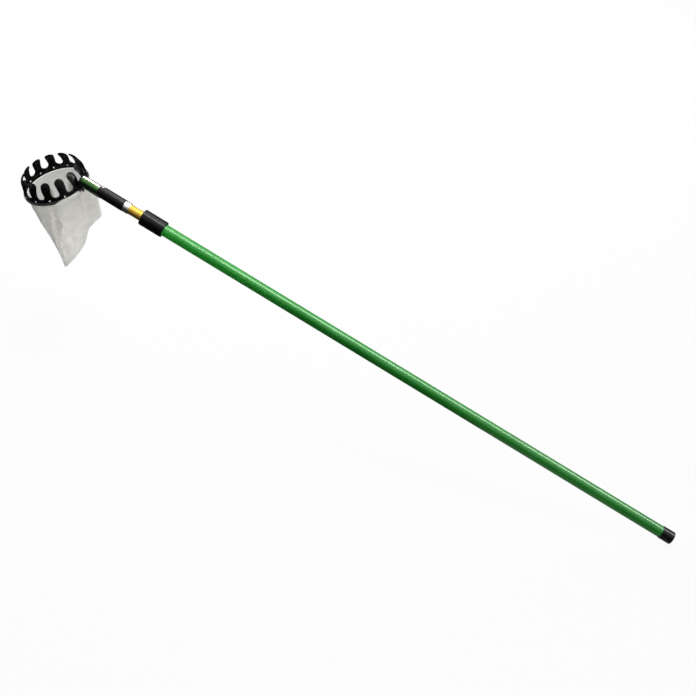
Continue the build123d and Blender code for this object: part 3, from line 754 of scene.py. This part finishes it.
def fingerRows():
    side = crownSet["tipStart"] - crownSet["gapCentre"]
    heights = [*crownSet["bandRows"], crownSet["band"]]
    heights += [crownSet["gapCentre"] - crownSet["gap"] * cos(radians(turn)) for turn in crownSet["gapRows"]]
    heights += [crownSet["gapCentre"] + share * side for share in crownSet["sideRows"]]
    rows = [(height, fingerHalf(height)) for height in heights]
    tipRise, tipHalf = crownSet["height"] - crownSet["tipStart"], rows[-1][1]
    for turn in crownSet["tipRows"]:
        rows.append((crownSet["tipStart"] + tipRise * sin(radians(turn)), tipHalf * cos(radians(turn))))
    return rows


def makeCrown():
    rows = fingerRows()
    fingers, near = crownSet["fingers"], crownSet["near"]
    pitch = 2 * pi * crownSet["radius"] / fingers
    deselectAll()
    bpy.ops.mesh.primitive_grid_add(
        x_subdivisions=crownSet["columns"], y_subdivisions=len(rows) - 1, size=1, rotation=(radians(90), 0, 0)
    )
    crown = named("pickingCrown")
    settle(crown)
    startEdit(crown)
    for index, (_, half) in enumerate(rows):
        level = index / (len(rows) - 1) - 0.5
        chooseVerts(crown, lambda co: abs(co.z - level) < near and abs(co.y) < near)
        bpy.ops.transform.resize(value=(2 * half, 1, 1), center_override=(0, 0, 0))
        bpy.ops.transform.translate(value=(0, crownSet["aside"], 0))  # parked, so that no row is taken twice
    endEdit()
    for index, vert in enumerate(crown.data.vertices):
        height, half = rows[index // (crownSet["columns"] + 1)]
        crest = 1 - (vert.co.x / half) ** 2
        raised = min(1.0, max(0.0, (height - crownSet["band"]) / crownSet["domeRise"]))
        vert.co = (vert.co.x, fingerLean(height) - crownSet["dome"] * (crest * raised - raised), height)
    settle(crown, Matrix.Translation((-pitch * (fingers - 1) / 2, 0, 0)))
    modify(
        crown, "ARRAY", count=fingers, use_relative_offset=False, use_constant_offset=True,
        constant_offset_displace=(pitch, 0, 0), use_merge_vertices=True, merge_threshold=crownSet["merge"],
    )
    modify(crown, "SIMPLE_DEFORM", deform_method="BEND", deform_axis="Z", angle=2 * pi)
    mergeClose(crown, crownSet["merge"])
    spacing = 360 / fingers
    turn = radians((crownSet["clock"] + spacing / 2 + 90) % spacing)
    settle(crown, Matrix.Rotation(turn, 4, "Z") @ Matrix.Translation((0, -crownSet["radius"], 0)))
    modify(
        crown, "SOLIDIFY", thickness=crownSet["wall"], offset=-1,
        edge_crease_inner=crownSet["crease"], edge_crease_outer=crownSet["crease"],
    )
    modify(crown, "SUBSURF", levels=crownSet["smooth"], render_levels=crownSet["smooth"])
    settle(crown, rimFrame)
    shadeSoft(crown, crownSet["shade"])
    dress(crown, "crownPlastic")
    return crown


crown = makeCrown()
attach(crown, "inner")
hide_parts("crown")
print("crown made,", len(crown.data.polygons), "faces")


# Rivets: turned pins with domed heads, one under each finger, white on the bag and black on the bracket
rivetSet = {
    "head": 0.0020, "shank": 0.0013, "dome": 0.0007, "domeRows": (0, 25, 50, 70, 86), "flat": 0.97,
    "height": 0.0080, "steps": 20, "shade": 50,
    "inside": 0.0636, "outside": 0.0680, "saddle": 0.0701, "onSaddle": (0, 12),
}


def rivetProfile(grip):
    head, shank, dome = rivetSet["head"], rivetSet["shank"], rivetSet["dome"]
    cap = [(head * sin(radians(t)), dome * cos(radians(t))) for t in rivetSet["domeRows"]]
    flat = head * rivetSet["flat"]
    top = [(r, grip + h) for r, h in cap] + [(flat, grip), (shank, grip)]
    foot = [(shank, 0), (flat, 0)] + [(r, -h) for r, h in reversed(cap)]
    return top + foot


def fingerAngle(index):
    return radians(crownSet["clock"] + 360 / crownSet["fingers"] * (index + 0.5))


def makeRivets(name, indices, outside):
    pattern = turned(name, rivetProfile(outside - rivetSet["inside"]), rivetSet["steps"])
    rivets = []
    for index in indices:
        place = rimPlace(fingerAngle(index), rivetSet["inside"], rivetSet["height"])
        rivets.append(copyOf(pattern, place @ Matrix.Rotation(pi / 2, 4, "Y")))
    bpy.data.objects.remove(pattern)
    piece = joined(rivets, name)
    shadeSoft(piece, rivetSet["shade"])
    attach(piece, "inner")
    return piece


bandFingers = [i for i in range(crownSet["fingers"]) if i not in rivetSet["onSaddle"]]
bandRivets = makeRivets("bandRivets", bandFingers, rivetSet["outside"])
dress(bandRivets, "whiteNylon")
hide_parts("bag_rivets")
saddleRivets = makeRivets("saddleRivets", rivetSet["onSaddle"], rivetSet["saddle"])
dress(saddleRivets, "blackPlastic")
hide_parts("bracket_rivets")
print("rivets made")


# Rim hoop: the grey strip round the band's lower edge, with rounded lips
hoopSet = {
    "inside": 0.06865, "outside": 0.0704, "low": -0.0005, "high": 0.0055, "bow": 0.00015,
    "lip": 0.0008, "lipRows": (0, 30, 60, 90), "around": 180, "shade": 50,
}


def hoopProfile():
    inside, outside, lip = hoopSet["inside"], hoopSet["outside"], hoopSet["lip"]
    low, high = hoopSet["low"], hoopSet["high"]
    core = outside - hoopSet["bow"] - lip
    turns = [radians(t) for t in hoopSet["lipRows"]]
    lower = [(core + lip * sin(t), low + lip - lip * cos(t)) for t in turns]
    upper = [(core + lip * cos(t), high - lip + lip * sin(t)) for t in turns]
    return [(inside, low), *lower, (outside, (low + high) / 2), *upper, (inside, high)]


hoop = turned("rimHoop", hoopProfile(), hoopSet["around"], closed=True)
settle(hoop, rimFrame)
shadeSoft(hoop, hoopSet["shade"])
dress(hoop, "rimPlastic")
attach(hoop, "inner")
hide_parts("rim_hoop")
print("rim hoop made")


# Bracket: the moulding with its edges rounded
bracketSet = {"edge": 0.0005, "segments": 2, "flatAngle": 1.5, "edgeAngle": 38, "shade": 32}


def makeBracket():
    piece = linked("bracketMoulding", frame["nodes"]["head_bracket"].data.copy())
    mergeClose(piece)
    startEdit(piece)
    bpy.ops.mesh.customdata_custom_splitnormals_clear()
    bpy.ops.mesh.select_all(action="SELECT")
    bpy.ops.mesh.dissolve_limited(angle_limit=radians(bracketSet["flatAngle"]))
    endEdit()
    modify(
        piece, "BEVEL", width=bracketSet["edge"], segments=bracketSet["segments"], limit_method="ANGLE",
        angle_limit=radians(bracketSet["edgeAngle"]), use_clamp_overlap=True, harden_normals=False,
    )
    shadeSoft(piece, bracketSet["shade"])
    dress(piece, "blackPlastic")
    return piece


bracket = makeBracket()
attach(bracket, "inner")
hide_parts("head_bracket")
print("bracket made,", len(bracket.data.polygons), "faces")


# Button spring: a bent leaf
springSet = {"thick": 0.0005, "leg": 14, "bend": 12, "across": 2, "clear": 0.0006, "shade": 40}
pressOut = -jointAxis("button_press")
springAxes = Matrix((poleAlong, pressOut, poleAlong.cross(pressOut)))  # along, out with the button, across


def springBox(node):
    points = [springAxes @ vert.co for vert in frame["nodes"][node].data.vertices]
    return [(min(p[k] for p in points), max(p[k] for p in points)) for k in range(3)]


def springPath(back, front, low, top):
    # the leaf's middle line: upper leg, round bend, lower leg
    half = (top - low) / 2
    straight, radius, level = front - half, half - springSet["thick"] / 2, (top + low) / 2
    steps = [i / springSet["leg"] for i in range(springSet["leg"])]
    upper = [(back + (straight - back) * t, level + radius) for t in steps]
    turns = [pi / 2 - pi * i / springSet["bend"] for i in range(springSet["bend"] + 1)]
    bend = [(straight + radius * cos(t), level + radius * sin(t)) for t in turns]
    return upper + bend + [(u, level - radius) for u, _ in reversed(upper)], straight


def makeSpring():
    (back, front), (low, top), (left, right) = springBox("button_spring")
    path, straight = springPath(back, front, low, top)
    deselectAll()
    bpy.ops.mesh.primitive_grid_add(
        x_subdivisions=len(path) - 1, y_subdivisions=springSet["across"], size=1
    )
    spring = named("buttonLeaf")
    for vert in spring.data.vertices:
        u, h = path[round((vert.co.x + 0.5) * (len(path) - 1))]
        vert.co = springAxes.transposed() @ Vector((u, h, (left + right) / 2 + vert.co.y * (right - left)))
    modify(spring, "SOLIDIFY", thickness=springSet["thick"], offset=0)
    faceOutward(spring)
    shadeSoft(spring, springSet["shade"])
    dress(spring, "steel")
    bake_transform(spring)
    return spring


spring = makeSpring()
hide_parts("button_spring")
print("button spring made")


# Bag: a flat cloth sewn round the rim, hanging to a tip with a slack corner, pleated and folded
bagSet = {
    "around": 240, "down": 72, "smooth": 1, "merge": 0.00002, "shade": 180,
    # far point x, z and near point x, z from the rim's centre, and half the width across, in millimetres
    "rings": [
        (-61.0, -20.6, 61.3, 19.6, 64.6),
        (-57.5, -27.0, 64.5, 13.0, 64.4),
        (-55.0, -43.0, 69.5, 5.0, 62.8),
        (-50.5, -63.0, 72.4, -17.9, 58.4),
        (-44.0, -89.0, 71.9, -44.1, 52.0),
        (-37.0, -113.0, 71.1, -66.0, 45.0),
        (-29.5, -136.0, 67.1, -82.4, 38.0),
        (-22.5, -160.0, 63.2, -104.8, 31.0),
        (-16.0, -184.0, 57.0, -133.0, 23.5),
        (-10.5, -207.0, 45.0, -164.0, 15.5),
        (-7.0, -226.0, 27.0, -197.0, 8.0),
        (-5.0, -240.0, 7.0, -230.0, 2.0),
        (-4.0, -244.0, 0.0, -241.0, 0.0),
    ],
    # the slack corner beside the pole: its angle and half width, and its reach down the rings, in millimetres
    "corner": {"angle": 14, "half": 18, "reach": [0, 0.8, 9.0, 17.0, 21.5, 24.5, 14.0, 0, 0, 0, 0, 0, 0]},
    # angle from the pole's side and its drift, half width, depth in mm (out is +), start, fullest and end
    "folds": [
        (353, 5, 8, -10.0, 0.03, 0.23, 0.54),
        (330, -6, 14, 1.5, 0.05, 0.30, 0.70),
        (300, 0, 10, -4.0, 0.51, 0.565, 0.62),
        (285, -30, 10, -1.5, 0.45, 0.70, 0.96),
        (262, -6, 10, 1.5, 0.40, 0.62, 0.95),
        (205, 6, 10, -3.2, 0.05, 0.40, 0.95),
        (183, 0, 9, 3.0, 0.05, 0.45, 0.90),
        (62, -6, 13, 3.2, 0.06, 0.40, 0.80),
        (46, 0, 12, -3.0, 0.05, 0.30, 0.62),
    ],
    # pleats: angle and drift, half width, slide and lift in mm, start, fullest and end
    "pleats": [
        (303, -92, 13, 11.0, 3.2, 0.08, 0.33, 0.90),
        (294, -4, 17, 16.0, 2.8, 0.19, 0.31, 0.44),
        (148, 10, 20, 17.0, 1.4, 0.04, 0.30, 0.95),
        (108, 0, 20, 17.0, 1.4, 0.04, 0.30, 0.95),
        (68, -10, 18, 16.0, 1.4, 0.04, 0.30, 0.90),
    ],
    # ripples and crumples: height in mm, scale round and down the bag, and a shift of the pattern
    "waves": [(1.2, 3, 5, 2), (0.65, 10, 18, 7)], "waveStart": 6,
    "fullSpan": 0.08, "tipHalf": 0.001, "tiny": 1e-6,
}


def between(values, share):
    # smooth curve through a row of values
    place = min(max(share, 0.0), 1.0) * (len(values) - 1)
    index = min(int(place), len(values) - 2)
    t = place - index
    a, b, c, d = (values[min(max(index + k, 0), len(values) - 1)] for k in (-1, 0, 1, 2))
    bow, twist = 2 * a - 5 * b + 4 * c - d, 3 * b - a - 3 * c + d
    return 0.5 * (2 * b + (c - a) * t + bow * t * t + twist * t ** 3)


def swell(v, start, full, end):
    if v <= start or v >= end:
        return 0.0
    share = (v - start) / (full - start) if v < full else (end - v) / (end - full)
    return share * share * (3 - 2 * share)


def wrapped(angle):
    return (angle + 180) % 360 - 180


def bagPoint(u, v):
    # u goes once round the bag from the pole's side, and v down from the rim to the tip
    ring = [between([facts[k] for facts in bagSet["rings"]], v) / 1000 for k in range(5)]
    farX, farZ, nearX, nearZ, halfY = ring
    far, near = Vector((farX, 0, farZ)), Vector((nearX, 0, nearZ))
    reach, across = (near - far) / 2, Vector((0, max(halfY, 0.0), 0))
    turn = 2 * pi * u
    point = (far + near) / 2 + reach * cos(turn) + across * sin(turn)
    along = across * cos(turn) - reach * sin(turn)
    if along.length < bagSet["tiny"] or halfY < bagSet["tipHalf"]:
        return rimCentre + point
    along.normalize()
    out = along.cross(reach.cross(across).normalized())
    if out.dot(point - (far + near) / 2) < 0:
        out = -out
    taper = min(1.0, (near - far).length / bagSet["fullSpan"])  # folds fade out where the bag narrows
    corner = bagSet["corner"]
    off = wrapped(degrees(turn) - corner["angle"]) / corner["half"]
    point += out * max(0.0, between(corner["reach"], v)) / 1000 * exp(-off * off)
    for angle, drift, half, depth, start, full, end in bagSet["folds"]:
        off = wrapped(degrees(turn) - angle - drift * v) / half
        point += out * depth / 1000 * exp(-off * off) * swell(v, start, full, end) * taper
    for angle, drift, half, slide, lift, start, full, end in bagSet["pleats"]:
        off = wrapped(degrees(turn) - angle - drift * v) / half
        if abs(off) < 1:
            fold = sin(pi * off) * swell(v, start, full, end) * taper
            point -= (along * slide + out * lift) * fold / 1000
    waves = sum(
        height * noise.noise(Vector((ringScale * cos(turn), ringScale * sin(turn), downScale * v + shift)))
        for height, ringScale, downScale, shift in bagSet["waves"]
    )
    point += out * waves / 1000 * min(1.0, bagSet["waveStart"] * v) * taper
    return rimCentre + point


def makeBag():
    deselectAll()
    bpy.ops.mesh.primitive_grid_add(x_subdivisions=bagSet["around"], y_subdivisions=bagSet["down"], size=1)
    bag = named("bagPouch")
    for vert in bag.data.vertices:
        vert.co = bagPoint(vert.co.x + 0.5, 0.5 - vert.co.y)
    mergeClose(bag, bagSet["merge"])
    modify(bag, "SUBSURF", levels=bagSet["smooth"], render_levels=bagSet["smooth"])
    shadeSoft(bag, bagSet["shade"])
    dress(bag, "bagCloth")
    return bag


bag = makeBag()
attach(bag, "inner")
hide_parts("bag")
print("bag made,", len(bag.data.polygons), "faces")


# Hem: the bag's edge turned up over the hoop on the pole's side, stitched down in one row
hemSet = {
    # lengths are in millimetres, and below is a share of the bag's depth
    "arcs": [(282, 349), (78, 11)], "rise": (296, 317), "low": -1.6, "high": 5.6, "bottom": -0.6,
    "radius": 70.75, "wave": 0.12, "waves": 23, "below": 0.075, "proud": 0.7, "thick": 0.5,
    "columns": 60, "rows": 6, "faceRows": 3, "smooth": 1, "shade": 180,
    "stitch": {
        "long": 2.0, "thick": 0.28, "pitch": 3.3, "height": 3.9, "lift": 0.30, "margin": 0.8,
        "endThick": 0.7, "endLong": 0.4, "steps": 6, "shade": 60,
    },
}


def hemTop(angle):
    # both hems rise from the front or back of the ring towards the pole
    turn = angle if angle > 180 else 360 - angle
    share = min(1.0, max(0.0, (turn - hemSet["rise"][0]) / (hemSet["rise"][1] - hemSet["rise"][0])))
    return hemSet["low"] + (hemSet["high"] - hemSet["low"]) * share * share * (3 - 2 * share)


def hemPoint(angle, row):
    # the face comes down over the hoop, and the rows after it go under the hoop to the bag
    top, turn, face = hemTop(angle), radians(angle), hemSet["faceRows"]
    if row <= face:
        height = top + (hemSet["bottom"] - top) * row / face
        wave = hemSet["wave"] * sin(radians(angle * hemSet["waves"]))
        flare = hemSet["radius"] + wave * (1 - row / face)
        return rimFrame @ (Vector((flare * cos(turn), flare * sin(turn), height)) / 1000)
    edge = hoopSet["outside"]
    corner = rimFrame @ Vector((edge * cos(turn), edge * sin(turn), hemSet["low"] / 1000))
    foot = bagPoint(angle / 360, hemSet["below"])
    away = (corner - rimCentre).normalized()
    share = (row - face - 1) / (hemSet["rows"] - face - 1)
    return corner.lerp(foot + away * hemSet["proud"] / 1000, share)


def makeHem(name, start, end):
    deselectAll()
    bpy.ops.mesh.primitive_grid_add(x_subdivisions=hemSet["columns"], y_subdivisions=hemSet["rows"], size=1)
    hem = named(name)
    for vert in hem.data.vertices:
        row = round((0.5 - vert.co.y) * hemSet["rows"])
        vert.co = hemPoint(start + (vert.co.x + 0.5) * (end - start), row)
    faceOutward(hem)
    modify(hem, "SOLIDIFY", thickness=hemSet["thick"] / 1000, offset=0)
    modify(hem, "SUBSURF", levels=hemSet["smooth"], render_levels=hemSet["smooth"])
    shadeSoft(hem, hemSet["shade"])
    dress(hem, "hemCloth")
    return hem


def makeStitches(name, start, end):
    facts = hemSet["stitch"]
    long, thick = facts["long"] / 1000, facts["thick"] / 1000
    endThick, endLong = thick * facts["endThick"], long / 2 - thick * facts["endLong"]
    profile = [
        (0, -long / 2), (endThick, -endLong), (thick, -long / 4),
        (thick, long / 4), (endThick, endLong), (0, long / 2),
    ]
    pattern = turned(name, profile, facts["steps"])
    radius = (hemSet["radius"] + facts["lift"]) / 1000
    count = int(radians(abs(end - start)) * radius * 1000 / facts["pitch"])
    stitches = []
    for index in range(count):
        angle = start + (index + 0.5) / count * (end - start)
        if hemTop(angle) < facts["height"] + facts["margin"]:
            continue
        place = rimPlace(radians(angle), radius, facts["height"] / 1000)
        stitches.append(copyOf(pattern, place @ Matrix.Rotation(pi / 2, 4, "X")))
    bpy.data.objects.remove(pattern)
    piece = joined(stitches, name)
    shadeSoft(piece, facts["shade"])
    dress(piece, "bagThread")
    return piece


hems = []
for hemSide, hemArc in zip(("Front", "Back"), hemSet["arcs"]):
    hems += [makeHem("hem" + hemSide, *hemArc), makeStitches("hemStitches" + hemSide, *hemArc)]
for hem in hems:
    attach(hem, "inner")
print("hems made,", sum(len(hem.data.polygons) for hem in hems), "faces")
